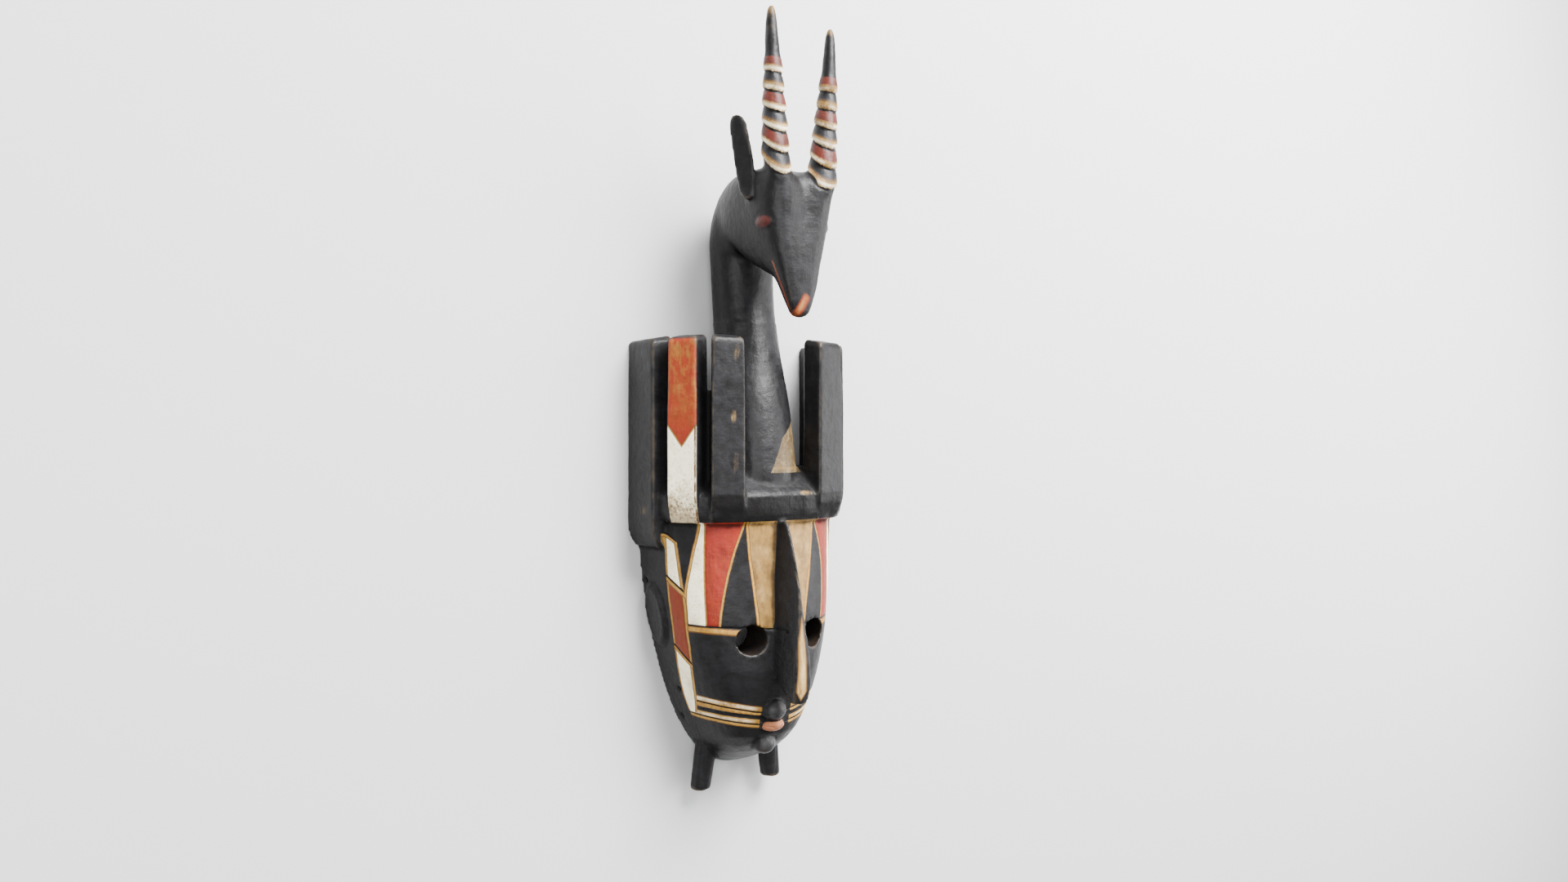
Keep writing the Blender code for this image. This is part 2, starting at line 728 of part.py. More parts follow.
def build_mask():
    for old in list(bpy.data.objects):
        bpy.data.objects.remove(old)
    mask = face_shell()
    for side in (-1, 1):
        for cut in face_cuts(side):
            join(mask, cut, "DIFFERENCE")
    join(mask, crown_block(), "UNION")
    for side in (-1, 1):
        for bar in comb(side):
            join(mask, bar, "UNION")
    join(mask, neck(), "UNION")
    join(mask, head(), "UNION")
    join(mask, nose(), "UNION")
    for lip in mouth():
        join(mask, lip, "UNION")
    for side in (-1, 1):
        join(mask, horn(side), "UNION")
        join(mask, antelope_ear(side), "UNION")
        join(mask, antelope_eye(side), "UNION")
        join(mask, peg(side), "UNION")
        join(mask, ear_disc(side), "UNION")
    join(mask, hollow(), "DIFFERENCE")
    for side in (-1, 1):
        join(mask, eye_hole(side), "DIFFERENCE")
        for height, z in CORD_HOLE_PLACES:
            join(mask, cord_hole(side, height, z), "DIFFERENCE")
    join(mask, saw_cut(), "DIFFERENCE")
    mask.name = "carved_mask"
    mask.data.name = "carved_mask"
    mask.data.materials.clear()
    mask.data.materials.append(blackened_wood())
    mask.location = (0.0, -(HORN_TIP + PEG_END) / 2, 0.0)
    mask.data.shade_smooth()
    mask.data.set_sharp_from_angle(angle=math.radians(35))
    return mask


build_mask()
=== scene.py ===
import math

import bmesh
import bpy
import numpy as np
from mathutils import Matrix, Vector, noise


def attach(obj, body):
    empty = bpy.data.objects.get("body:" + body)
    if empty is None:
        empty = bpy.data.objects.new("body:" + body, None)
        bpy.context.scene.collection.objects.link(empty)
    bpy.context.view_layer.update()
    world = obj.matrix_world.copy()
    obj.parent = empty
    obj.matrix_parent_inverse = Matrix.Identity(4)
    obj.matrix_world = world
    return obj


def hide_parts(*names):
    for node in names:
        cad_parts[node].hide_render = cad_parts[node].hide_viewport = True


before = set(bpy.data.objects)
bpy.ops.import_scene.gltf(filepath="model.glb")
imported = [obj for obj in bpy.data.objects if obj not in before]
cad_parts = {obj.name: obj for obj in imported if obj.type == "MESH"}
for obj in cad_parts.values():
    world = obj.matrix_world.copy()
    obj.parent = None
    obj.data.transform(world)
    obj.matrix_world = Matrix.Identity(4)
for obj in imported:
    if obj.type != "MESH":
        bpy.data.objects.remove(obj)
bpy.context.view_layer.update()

# The mask
# The real one is a single block of light hardwood, hollowed behind, charred and oiled black. The fields of
# the face, the side bars of the comb and the horns are cut in low relief and painted red, white and ochre,
# and the black is rubbed through to bare wood where hands and cloth have touched it.

# The fine mesh: its step and the distance at which points are one, in metres
GRAIN_STEP = 0.0015
SAME_POINT = 0.00001
MOST_TRIANGLES = 190000
EASE_ROUNDS = 2
EASE_PULLS = (0.60, -0.62)
BEND_ROUNDS = 16
BEND_PULL = 0.6
# The face is nearly round about an axis on its back; places round it are millimetres at this radius
ROUND_RADIUS = 85.0


def fine_block(node):
    """An even, fine copy of the carving, its sharp corners eased as on worn wood."""
    block = bpy.data.objects.new("Carved_Mask", node.data.copy())
    bpy.context.scene.collection.objects.link(block)
    merged = bmesh.new()
    merged.from_mesh(block.data)
    bmesh.ops.remove_doubles(merged, verts=merged.verts, dist=SAME_POINT)
    merged.to_mesh(block.data)
    merged.free()
    step = block.modifiers.new("Even", "REMESH")
    step.mode = "VOXEL"
    step.voxel_size = GRAIN_STEP
    settle(block)
    return block


def settle(block):
    """Makes the result of the block's modifier its own mesh."""
    graph = bpy.context.evaluated_depsgraph_get()
    made = bpy.data.meshes.new_from_object(block.evaluated_get(graph))
    block.modifiers.clear()
    block.data = made


def thin_out(block):
    """Merges the points that the flatter parts don't need."""
    count = sum(len(face.vertices) - 2 for face in block.data.polygons)
    step = block.modifiers.new("Thin", "DECIMATE")
    step.ratio = min(1.0, MOST_TRIANGLES / count)
    settle(block)


def points_of(mesh):
    flat = np.zeros(len(mesh.vertices) * 3)
    mesh.vertices.foreach_get("co", flat)
    return flat.reshape(-1, 3)


def normals_of(mesh):
    flat = np.zeros(len(mesh.vertices) * 3)
    mesh.vertex_normals.foreach_get("vector", flat)
    return flat.reshape(-1, 3)


def ties_of(mesh):
    flat = np.zeros(len(mesh.edges) * 2, dtype=np.int64)
    mesh.edges.foreach_get("vertices", flat)
    return flat.reshape(-1, 2)


def place_points(mesh, points):
    mesh.vertices.foreach_set("co", points.astype(np.float32).ravel())
    mesh.update()


def neighbour_means(mesh):
    """A function that gives, for values at the points, the mean of each point's neighbours."""
    ties = ties_of(mesh)
    counts = np.maximum(np.bincount(ties.ravel(), minlength=len(mesh.vertices)), 1).astype(float)

    def means(values):
        total = np.zeros_like(values)
        np.add.at(total, ties[:, 0], values[ties[:, 1]])
        np.add.at(total, ties[:, 1], values[ties[:, 0]])
        return total / counts[:, None]

    return means


def ease(mesh, rounds):
    """Smooths the mesh without shrinking it: each round pulls in and then pushes back out."""
    means = neighbour_means(mesh)
    points = points_of(mesh)
    for _ in range(rounds):
        for pull in EASE_PULLS:
            points = points + pull * (means(points) - points)
    place_points(mesh, points)


def bend_map(mesh, rounds):
    """How far each point stands out from the mean of its surroundings, in millimetres."""
    means = neighbour_means(mesh)
    points = points_of(mesh)
    smooth = points
    for _ in range(rounds):
        smooth = (1 - BEND_PULL) * smooth + BEND_PULL * means(smooth)
    return ((points - smooth) * normals_of(mesh)).sum(axis=1) * 1000


def around(points):
    """Millimetres round the face from its middle line, for points in metres."""
    return ROUND_RADIUS * np.arctan2(np.abs(points[:, 0]), np.maximum(points[:, 2], 0.0001))


# The lines of the face run down it, each given by places round the face (mm) at heights (mm)
STRIP_OUTSIDE = (
    (97.5, -90), (97.5, -136), (95.5, -168), (96.0, -209), (95.5, -225), (91.5, -240), (84, -250),
)
STRIP_INSIDE = (
    (88.6, -86), (85.5, -103), (81.7, -130), (79.1, -144), (78.2, -165), (76.6, -185), (76.4, -205),
    (75.6, -222), (76.4, -230), (79.0, -238), (84, -250),
)
WHITE_OUTSIDE = ((66.4, -84), (72.5, -110), (78.0, -134), (79.1, -144), (78.2, -165), (78, -250))
RED_OUTSIDE = ((63.2, -84), (63.6, -110), (63.4, -134), (62.6, -152), (62.0, -168), (62, -250))
RED_INSIDE_LEFT = (
    (31.8, -84), (36.7, -97), (42.0, -113), (45.7, -126), (48.4, -141), (50.8, -156), (51.8, -168),
    (52, -250),
)
CREAM_OUTSIDE_LEFT = ((29.6, -84), (27.5, -110), (24.4, -134), (21.0, -164), (20.6, -170), (20, -250))
RED_INSIDE_RIGHT = (
    (37.0, -84), (43.0, -97), (48.0, -113), (49.5, -130), (48.0, -146), (45.0, -160), (43.3, -168),
    (43, -250),
)
CREAM_OUTSIDE_RIGHT = ((34.4, -84), (32.5, -107), (28.2, -131), (22.4, -153), (20.0, -168), (20, -250))
# The lines are given between these heights (mm), and cut below the comb and in front of the rim (m)
LINES_TOP = -84.0
LINES_LOW = -250.0
CUTS_TOP = -82.5
CUTS_BACK = 0.012


def smooth_line(corners, count=48):
    """Places round the face at even heights from the chin up to the panel's top, eased at the corners."""
    heights = np.linspace(LINES_LOW, LINES_TOP, count)
    given = sorted((height, at) for at, height in corners)
    places = np.interp(heights, [g[0] for g in given], [g[1] for g in given])
    for _ in range(3):
        padded = np.concatenate(([places[0]], places, [places[-1]]))
        places = 0.25 * padded[:-2] + 0.5 * padded[1:-1] + 0.25 * padded[2:]
    return heights, places


# The lines across the face fall towards the middle: height at the middle line and rise per mm of breadth
PANEL_EDGE = (-169.5, 0.0690)
UPPER_MOUTH_LINE = (-239.0, 0.2114)
MOUTH_BAND = (-242.6, 0.1738)
LOWER_MOUTH_LINE = (-248.7, 0.1800)
BAND_HALF_WIDTH = 1.8
# The steps of the side strip run down and inwards: height at their start round the face and rise per mm
STEPS_START = 90.0
UPPER_STEP = (-132.3, 0.72)
LOWER_STEP = (-186.6, 0.78)
STRIP_TOP = (-97.6, 0.62)
# The knife's cuts: half width and depth in millimetres
FIELD_CUT = (1.3, 0.42)
PANEL_CUT = (1.3, 0.9)
MOUTH_CUT = (1.1, 0.9)
STEP_CUT = (1.5, 1.0)

# The horns, in millimetres: the left one's place and size, and how far the right one sits below it
HORN_BASE = 187.9
HORN_LENGTH = 121.0
HORNS_ABOVE = 170.0
RIGHT_HORN_LOWER = 6.0
HORN_BASE_X = 21.5
HORN_SPREAD = 6.1
HORN_BASE_Z = 108.0
HORN_RISE = 2.5
HORN_RADIUS = 10.2
# How a horn thins out: share of its length and share of its radius
HORN_TAPER = ((0.0, 1.0), (0.35, 0.82), (0.68, 0.60), (0.86, 0.47), (0.95, 0.36), (1.0, 0.15))
RING_PITCH = 13.43
FIRST_RING = 0.20
LAST_RING = 5.95
RING_LEAN = math.radians(50)


def horn_rings(points):
    """How many rings up its horn each point is, and how far it is from the horn's skin in millimetres."""
    x, y, z = (points * 1000).T
    base = HORN_BASE - RIGHT_HORN_LOWER * (x > 0)
    share = (y - base) / HORN_LENGTH
    for _ in range(4):
        middle_z = HORN_BASE_Z + HORN_RISE * np.clip(share * 1.5, 0, 1)
        lean = np.tan(RING_LEAN * (1 - np.clip(share / 0.85, 0, 1)))
        share = (y - base + lean * (z - middle_z)) / HORN_LENGTH
    middle_x = HORN_BASE_X + HORN_SPREAD * np.clip(share * 1.15, 0, 1)
    radius = HORN_RADIUS * np.interp(share, *zip(*HORN_TAPER))
    off_skin = np.hypot(np.abs(x) - middle_x, z - middle_z) - radius
    return share * HORN_LENGTH / RING_PITCH - FIRST_RING, off_skin


def groove(distance, half_width, depth):
    """How deep a V-shaped cut is at this distance from its middle."""
    return depth * np.clip(1 - np.abs(distance) / half_width, 0, 1)


# A ring from its lower edge up: share of the pitch and height over the horn in millimetres
RING_SHAPE = ((0.0, -0.7), (0.05, -0.3), (0.12, 1.0), (0.26, 1.2), (0.55, 0.5), (0.93, 0.1), (1.0, -0.7))


def ring_relief(points):
    """How high the knife left the rings of the horns at each point, in millimetres."""
    ring, off_skin = horn_rings(points)
    on_horn = np.clip((4.0 - off_skin) / 1.5, 0, 1) * (points[:, 1] > HORNS_ABOVE / 1000)
    on_horn *= np.clip((ring + 0.1) / 0.1, 0, 1) * np.clip((LAST_RING - ring) / 0.1, 0, 1)
    wander = 0.025 * np.sin(points[:, 0] * 420 + ring * 2.1)
    wander += 0.02 * np.sin(points[:, 2] * 510 + ring * 4.0)
    turn = np.mod(ring + wander, 1.0)
    shares, heights = zip(*RING_SHAPE)
    size = np.clip(1.15 - ring * 0.08, 0.6, 1.15)
    return np.interp(turn, shares, heights) * on_horn * size


def face_cut_depth(points):
    """How deep the knife lines of the face go at each point, in millimetres."""
    at = around(points)
    height = points[:, 1] * 1000
    breadth = np.abs(points[:, 0]) * 1000
    left = points[:, 0] < 0
    front = (points[:, 2] > CUTS_BACK) & (height < CUTS_TOP)

    def along(corners):
        heights, places = smooth_line(corners)
        return at - np.interp(height, heights, places)

    deep = np.zeros(len(points))
    in_panel = height > PANEL_EDGE[0] + PANEL_EDGE[1] * breadth - 1.0
    lines = [
        (along(STRIP_OUTSIDE) + 1.2, True),
        (along(STRIP_INSIDE) - 2.4, True),
        (along(WHITE_OUTSIDE), in_panel),
        (along(RED_OUTSIDE), in_panel),
        (np.where(left, along(RED_INSIDE_LEFT), along(RED_INSIDE_RIGHT)), in_panel),
        (np.where(left, along(CREAM_OUTSIDE_LEFT), along(CREAM_OUTSIDE_RIGHT)), in_panel),
    ]
    for distance, where in lines:
        deep = np.maximum(deep, groove(distance, *FIELD_CUT) * where)
    off_nose = (along(STRIP_INSIDE) < 0) & (breadth > 6)
    for (low, rise), cut in (
        (PANEL_EDGE, PANEL_CUT),
        (UPPER_MOUTH_LINE, MOUTH_CUT),
        (LOWER_MOUTH_LINE, MOUTH_CUT),
    ):
        deep = np.maximum(deep, groove(height - low - rise * breadth, *cut) * off_nose)
    in_strip = (along(STRIP_OUTSIDE) < -0.5) & (along(STRIP_INSIDE) > 0.5)
    for low, rise in (UPPER_STEP, LOWER_STEP, STRIP_TOP):
        rises = rise * (at - STEPS_START)
        deep = np.maximum(deep, groove(height - low - rises, *STEP_CUT) * in_strip)
    return deep * front


# How each soft form is rounded off: rounds, and the swell in millimetres that makes up for the loss
ANTELOPE_SOFTENING = (60, 0.65)
HORN_SOFTENING = (22, 0.45)
# The antelope's eye on either side and the height where its head starts, in millimetres
ANTELOPE_EYE = (30.0, 146.4, 101.6)
HEAD_LOW = 76.0
# How far the antelope's jaw is filled out at its fullest, in metres along each axis
JAW_FILL = (0.0, -0.0055, -0.0060)


def soften(mesh, share, rounds, swell):
    """Rounds the mesh off where share is 1, and swells it back by as much as that shrinks it."""
    means = neighbour_means(mesh)
    points = points_of(mesh)
    for _ in range(rounds):
        points = points + 0.5 * share[:, None] * (means(points) - points)
    place_points(mesh, points)
    place_points(mesh, points + normals_of(mesh) * (share * swell)[:, None] / 1000)


def antelope_share(points):
    """1 on the antelope's smooth head and neck, 0 on its ears, horns and eyes and on the comb."""
    x, y, z = (points * 1000).T
    x = np.abs(x)
    ring, off_skin = horn_rings(points)
    eye_x, eye_y, eye_z = ANTELOPE_EYE
    head = np.clip((34.0 - x) / 3, 0, 1) * np.clip((y - 97.0) / 16, 0.12, 1) * (y > HEAD_LOW)
    off_eye = ((x - eye_x) / 10) ** 2 + ((y - eye_y) / 8) ** 2 + ((z - eye_z) / 10) ** 2
    head *= np.clip((off_eye - 0.7) / 0.8, 0.15, 1)
    neck = np.clip((32.5 - x) / 1.5, 0, 1) * np.clip((y + 34) / 8, 0, 1) * (y <= HEAD_LOW)
    on_horn = (ring > -0.12) & (off_skin < 5) & (y > 165)
    return np.where(on_horn, 0, head + neck)


def deepen_jaw(mesh):
    """Fills the antelope's jaw out towards its throat."""
    points = points_of(mesh)
    normals = normals_of(mesh)
    x, y, z = (points * 1000).T
    share = np.exp(-((y - 110) / 24) ** 2) * np.clip((27 - np.abs(x)) / 10, 0, 1)
    share *= np.clip((96 - z) / 14, 0, 1) * (z > 55)
    share *= np.clip(-1.6 * (0.6 * normals[:, 1] + 0.8 * normals[:, 2]), 0, 1)
    place_points(mesh, points + share[:, None] * np.array(JAW_FILL))


def horn_share(points):
    """1 on the ringed stretch of the horns."""
    ring, off_skin = horn_rings(points)
    at_skin = np.clip((5.0 - off_skin) / 1.5, 0, 1) * (points[:, 1] > HORNS_ABOVE / 1000)
    return at_skin * np.clip((ring + 0.3) / 0.2, 0, 1) * np.clip((6.2 - ring) / 0.8, 0, 1)


# How far beside a cut the mesh is made finer, in metres
CUT_MARGIN = 0.0016


def near_cuts(points):
    """True for points on a knife line of the face or within the margin beside it."""
    spread = face_cut_depth(points)
    for shift in (-CUT_MARGIN, CUT_MARGIN):
        for axis in (0, 1, 2):
            moved = points.copy()
            moved[:, axis] += shift
            spread = np.maximum(spread, face_cut_depth(moved))
    return spread > 0


def refine_near_cuts(mesh):
    """Halves the edges of the mesh along the knife lines, so that they have room for their depth."""
    fine = near_cuts(points_of(mesh))
    bm = bmesh.new()
    bm.from_mesh(mesh)
    bm.verts.ensure_lookup_table()
    edges = [e for e in bm.edges if fine[e.verts[0].index] and fine[e.verts[1].index]]
    bmesh.ops.subdivide_edges(bm, edges=edges, cuts=1, use_grid_fill=True)
    bmesh.ops.triangulate(bm, faces=[f for f in bm.faces if len(f.verts) > 4])
    bm.to_mesh(mesh)
    bm.free()


# How deep the tools left their marks, in millimetres
ADZE_FLATS = 0.22
KNIFE_RIPPLE = 0.10
HAND_WAVER = 0.34


def tool_marks(points):
    """The flats that the adze and the knife leave, as a small depth in millimetres at each point."""
    marks = np.zeros(len(points))
    for i, p in enumerate(points):
        flats = noise.voronoi(Vector((p[0] * 120, p[1] * 75, p[2] * 120)))[0]
        ripple = noise.noise(Vector((p[0] * 230 + 7, p[1] * 330, p[2] * 230)))
        waver = noise.noise(Vector((p[0] * 45, p[1] * 28 + 3, p[2] * 45)))
        flat = min(flats[1] - flats[0], 0.5)
        marks[i] = ADZE_FLATS * flat + KNIFE_RIPPLE * ripple + HAND_WAVER * waver
    return marks


class Wire:
    """A value on its way through the paint's nodes; arithmetic on it adds Math nodes."""

    def __init__(self, tree, socket=None):
        self.tree = tree
        self.socket = socket

    def node(self, kind, settings=None, inputs=None, output=0):
        made = self.tree.nodes.new(kind)
        for name, value in (settings or {}).items():
            if name == "curve":
                line = made.mapping.curves[0]
                line.points[0].location = value[0]
                line.points[1].location = value[-1]
                for at, height in value[1:-1]:
                    line.points.new(at, height)
                for point in line.points:
                    point.handle_type = "VECTOR"
                made.mapping.update()
            else:
                setattr(made, name, value)
        for name, value in (inputs or {}).items():
            if isinstance(value, Wire):
                self.tree.links.new(value.socket, made.inputs[name])
            else:
                made.inputs[name].default_value = value
        return Wire(self.tree, made.outputs[output])

    def math(self, operation, *others, clamp=False):
        values = (self, *others)
        settings = {"operation": operation, "use_clamp": clamp}
        return self.node("ShaderNodeMath", settings, dict(enumerate(values)))

    def __add__(self, other):
        return self.math("ADD", other)

    __radd__ = __add__

    def __mul__(self, other):
        return self.math("MULTIPLY", other)

    __rmul__ = __mul__

    def __sub__(self, other):
        return self.math("SUBTRACT", other)

    def __rsub__(self, other):
        return (self * -1.0) + other

    def __truediv__(self, other):
        return self.math("DIVIDE", other)

    def __abs__(self):
        return self.math("ABSOLUTE")

    def least(self, other):
        return self.math("MINIMUM", other)

    def most(self, other):
        return self.math("MAXIMUM", other)

    def inside(self, soft=0.3):
        """1 where the value is above 0 and 0 where it is below, with a soft edge."""
        return self.math("MULTIPLY_ADD", 1.0 / soft, 0.5, clamp=True)

    def over(self, low, high):
        """0 up to low, 1 from high on."""
        return ((self - low) / (high - low)).math("ADD", 0.0, clamp=True)

    def within(self, half_width, soft=0.35):
        """1 where the value is nearer to 0 than half_width."""
        return (half_width - abs(self)).inside(soft)


def lay(under, over, mask):
    """Lays one colour over another where the mask is 1; the colour sockets only have numbers."""
    settings = {"data_type": "RGBA", "clamp_factor": True}
    return mask.node("ShaderNodeMix", settings, {0: mask, 6: under, 7: over}, output=2)


def pick(mask, low, high):
    """One number where the mask is 0 and the other where it is 1."""
    return low + (high - low) * mask


def speckle(place, stretch, scale, detail=3.0, rough=0.55):
    """Noise from 0 to 1 over the wood; stretch draws it out along the three axes."""
    moved = place.node("ShaderNodeVectorMath", {"operation": "MULTIPLY"}, {0: place, 1: stretch})
    inputs = {"Vector": moved, "Scale": scale, "Detail": detail, "Roughness": rough}
    return place.node("ShaderNodeTexNoise", {}, inputs)


def face_line(height, corners):
    """Where a line of the face lies round the face, in millimetres, at this height."""
    heights, places = smooth_line(corners)
    span = LINES_TOP - LINES_LOW
    stops = [((h - LINES_LOW) / span, p / 100) for h, p in zip(heights, places)]
    share = (height - LINES_LOW) / span
    return height.node("ShaderNodeFloatCurve", {"curve": stops}, {1: share}) * 100.0


# The paints, each as the shares of red, green and blue light that it sends back
BLACK = (0.0068, 0.0065, 0.0067, 1.0)
# The darkest black: a sooty mottle in places, and also painted shade under things, on the sides of the
# antelope's head, in the cuts and in the hollows
SOOT_AND_SHADE = (0.0024, 0.0020, 0.0018, 1.0)
# Rubbed grey on the black, and also a painted highlight on the lower rims of the sight holes
GREY_RUB_AND_HIGHLIGHT = (0.0145, 0.0148, 0.0178, 1.0)
BROWN_RUB = (0.0170, 0.0110, 0.0070, 1.0)
EDGE_RUB = (0.060, 0.042, 0.024, 1.0)
# Bare wood where the black is worn through, and also a painted highlight at the upper end of the
# antelope's mouth line
BARE_WOOD_AND_HIGHLIGHT = (0.200, 0.115, 0.034, 1.0)
DARK_WOOD = (0.050, 0.026, 0.010, 1.0)
OCHRE = (0.265, 0.128, 0.018, 1.0)
PALE_OCHRE = (0.400, 0.240, 0.060, 1.0)
DARK_OCHRE = (0.075, 0.034, 0.009, 1.0)
RED = (0.205, 0.016, 0.009, 1.0)
DEEP_RED = (0.095, 0.009, 0.006, 1.0)
ORANGE_RED = (0.225, 0.036, 0.006, 1.0)
BRICK = (0.150, 0.024, 0.007, 1.0)
HORN_RED = (0.080, 0.015, 0.010, 1.0)
EYE_RED = (0.050, 0.010, 0.008, 1.0)
WHITE = (0.980, 0.890, 0.640, 1.0)
DIRTY_WHITE = (0.440, 0.300, 0.130, 1.0)
CREAM = (0.215, 0.122, 0.034, 1.0)
DARK_CREAM = (0.090, 0.046, 0.012, 1.0)
LIP_PINK = (0.290, 0.110, 0.050, 1.0)
# A painted sheen on the upper lip and the chin ball
LIP_SHEEN = (0.040, 0.039, 0.040, 1.0)
PATCH_GREY = (0.085, 0.064, 0.034, 1.0)


# Places on the carving that the paint follows, in millimetres
FACE_TOP = -84.2
# Above this height the sides of the antelope's head get painted shade
SHADED_CHEEKS_LOW = 78.0
LEFT_HOLE = -26.2
RIGHT_HOLE = 33.8
HOLES_HEIGHT = -176.6
HOLE_RADIUS = 13.0
BAR_MIDDLE_X = 77.25
BAR_MIDDLE_Z = 60.75
BAR_COSINE = 0.847
BAR_SINE = 0.532
BAR_FOOT = -62.0
# The face's skin at its middle, from the chin up: share of the height, and depth in units of 100 mm
SKIN_DEPTHS = (
    (0.0, 0.60), (0.2, 0.66), (0.4, 0.80), (0.6, 0.857), (0.8, 0.857), (0.9, 0.835), (1.0, 0.82),
)
# The nose from its foot up: share of its height, and half its width in units of 10 mm
NOSE_WIDTHS = (
    (0.0, 0.70), (0.08, 0.86), (0.22, 0.90), (0.45, 0.84), (0.70, 0.68), (0.88, 0.47), (1.0, 0.38),
)


class Surface:
    """Where each point of the wood lies, in millimetres, and the noises that mottle its paint."""

    def __init__(self, tree):
        start = Wire(tree)
        place = start.node("ShaderNodeTexCoord", output="Object")
        facing = start.node("ShaderNodeTexCoord", output="Normal")
        self.x, self.y, self.z = (self.along(place, axis) * 1000.0 for axis in "XYZ")
        self.wide = abs(self.x)
        self.left = (0.0 - self.x).inside(0.2)
        self.facing_side = self.along(facing, "X")
        self.facing_down = self.along(facing, "Y") * -1.0
        self.edge = self.kept_value(start, "standing_out")
        self.ring = self.kept_value(start, "horn_ring")
        self.off_horn = self.kept_value(start, "off_horn")

        self.grain = speckle(place, (1.0, 0.10, 1.0), 900.0, 4.0)
        self.streak = speckle(place, (1.0, 0.06, 1.0), 260.0)
        self.scratch = speckle(place, (1.0, 0.16, 1.0), 420.0, 4.0, 0.65)
        self.cloud = speckle(place, (1.0, 0.8, 1.0), 38.0)
        self.patch = speckle(place, (1.0, 0.7, 1.0), 95.0, 4.0, 0.62)
        self.fleck = speckle(place, (1.0, 0.85, 1.0), 520.0, 2.0, 0.6)
        self.dust = speckle(place, (1.0, 1.0, 1.0), 1500.0, 2.0, 0.6)
        self.dent = speckle(place, (1.0, 0.75, 1.0), 165.0, 2.0, 0.5)
        self.ripple = speckle(place, (0.30, 1.0, 0.30), 460.0, 3.0, 0.6)

        # the hand's waver in the lines: where they lie round the face, and how high
        unsteady = speckle(place, (1.0, 1.0, 1.0), 70.0, 2.0)
        self.waver = (unsteady - 0.5) * 1.1 + (self.fleck - 0.5) * 0.25
        self.at = self.wide.math("ARCTAN2", self.z) * ROUND_RADIUS + self.waver
        self.level = self.y + self.waver

    def along(self, vector, axis):
        return vector.node("ShaderNodeSeparateXYZ", {}, {0: vector}, output=axis)

    def kept_value(self, start, name):
        """A value that the mesh keeps at each of its points."""
        return start.node("ShaderNodeAttribute", {"attribute_name": name}, output="Fac")

    def mix(self, **shares):
        """The named noises added up, each times its share."""
        parts = [getattr(self, name) * share for name, share in shares.items()]
        return sum(parts[1:], parts[0])


def above(level, breadth, line):
    """How far above a slanting line each point lies, in millimetres."""
    low, rise = line
    return level - (breadth * rise + low)


def near(place, centre, reach):
    """1 at the centre, 0 at the reach along each axis, and below 0 beyond it."""
    parts = [(p - c) / r for p, c, r in zip(place, centre, reach)]
    squares = [part * part for part in parts]
    return 1.0 - sum(squares[1:], squares[0])


def black_wood(wood):
    """The charred and oiled wood, rubbed grey and brown, with painted shade on faces turned down and on
    the sides of the antelope's head.
    """
    black = lay(SOOT_AND_SHADE, BLACK, wood.cloud.over(0.22, 0.52))
    black = lay(black, GREY_RUB_AND_HIGHLIGHT, wood.mix(patch=0.5, dent=0.25, ripple=0.3).over(0.46, 0.70) * 0.6)
    black = lay(black, BROWN_RUB, wood.mix(patch=0.5, scratch=0.6).over(0.62, 0.80) * 0.35)
    # painted shade on the faces that turn downwards
    black = lay(black, SOOT_AND_SHADE, wood.facing_down.over(0.15, 0.60) * 0.85)
    # painted shade on the sides of the antelope's head
    shaded_cheeks = abs(wood.facing_side).over(0.45, 0.85) * (wood.y - SHADED_CHEEKS_LOW).inside(4.0)
    return lay(black, SOOT_AND_SHADE, shaded_cheeks * 0.7)


class Paints:
    """The paints as they lie on the wood, each mottled and worn in its own way."""

    def __init__(self, wood):
        self.black = black_wood(wood)
        red = lay(RED, DEEP_RED, wood.mix(streak=0.4, patch=0.7).over(0.50, 0.72) * 0.75)
        red = lay(red, ORANGE_RED, wood.cloud.over(0.46, 0.66) * wood.grain.over(0.38, 0.62) * 0.6)
        self.red = lay(red, BARE_WOOD_AND_HIGHLIGHT, wood.mix(fleck=0.5, dust=0.5).over(0.58, 0.72) * 0.30)
        self.brick = lay(BRICK, DEEP_RED, wood.mix(grain=0.5, patch=0.5).over(0.46, 0.66) * 0.6)
        white = lay(WHITE, DIRTY_WHITE, wood.mix(patch=0.6, cloud=0.5).over(0.54, 0.80) * 0.6)
        self.white = lay(white, DARK_WOOD, wood.mix(fleck=0.7, dust=0.4).over(0.62, 0.74) * 0.55)
        cream = lay(CREAM, DIRTY_WHITE, wood.mix(cloud=0.6, scratch=0.5).over(0.50, 0.68) * 0.5)
        cream = lay(cream, DARK_CREAM, wood.mix(patch=0.7, scratch=0.35).over(0.46, 0.62) * 0.8)
        self.cream = lay(cream, DARK_WOOD, wood.mix(fleck=0.5, dust=0.5).over(0.56, 0.70) * 0.40)
        self.ochre = lay(OCHRE, PALE_OCHRE, wood.mix(patch=0.5, fleck=0.5).over(0.42, 0.60) * 0.6)

    def gold(self, under, distance, half_width):
        """An ochre line with a darker border, painted as the shade of its cut."""
        under = lay(under, DARK_OCHRE, distance.within(half_width))
        return lay(under, self.ochre, distance.within(half_width * 0.62, 0.6))


class FaceLines:
    """How far each point lies inside or above the lines of the face, in millimetres."""

    def __init__(self, wood):
        self.strip_out = face_line(wood.level, STRIP_OUTSIDE) - wood.at
        self.strip_in = wood.at - face_line(wood.level, STRIP_INSIDE)
        self.off_strip = (0.0 - self.strip_in).inside()
        self.panel = above(wood.level, wood.wide, PANEL_EDGE)
        self.upper_mouth = above(wood.level, wood.wide, UPPER_MOUTH_LINE)
        self.mouth_band = above(wood.level, wood.wide, MOUTH_BAND)
        self.lower_mouth = above(wood.level, wood.wide, LOWER_MOUTH_LINE)


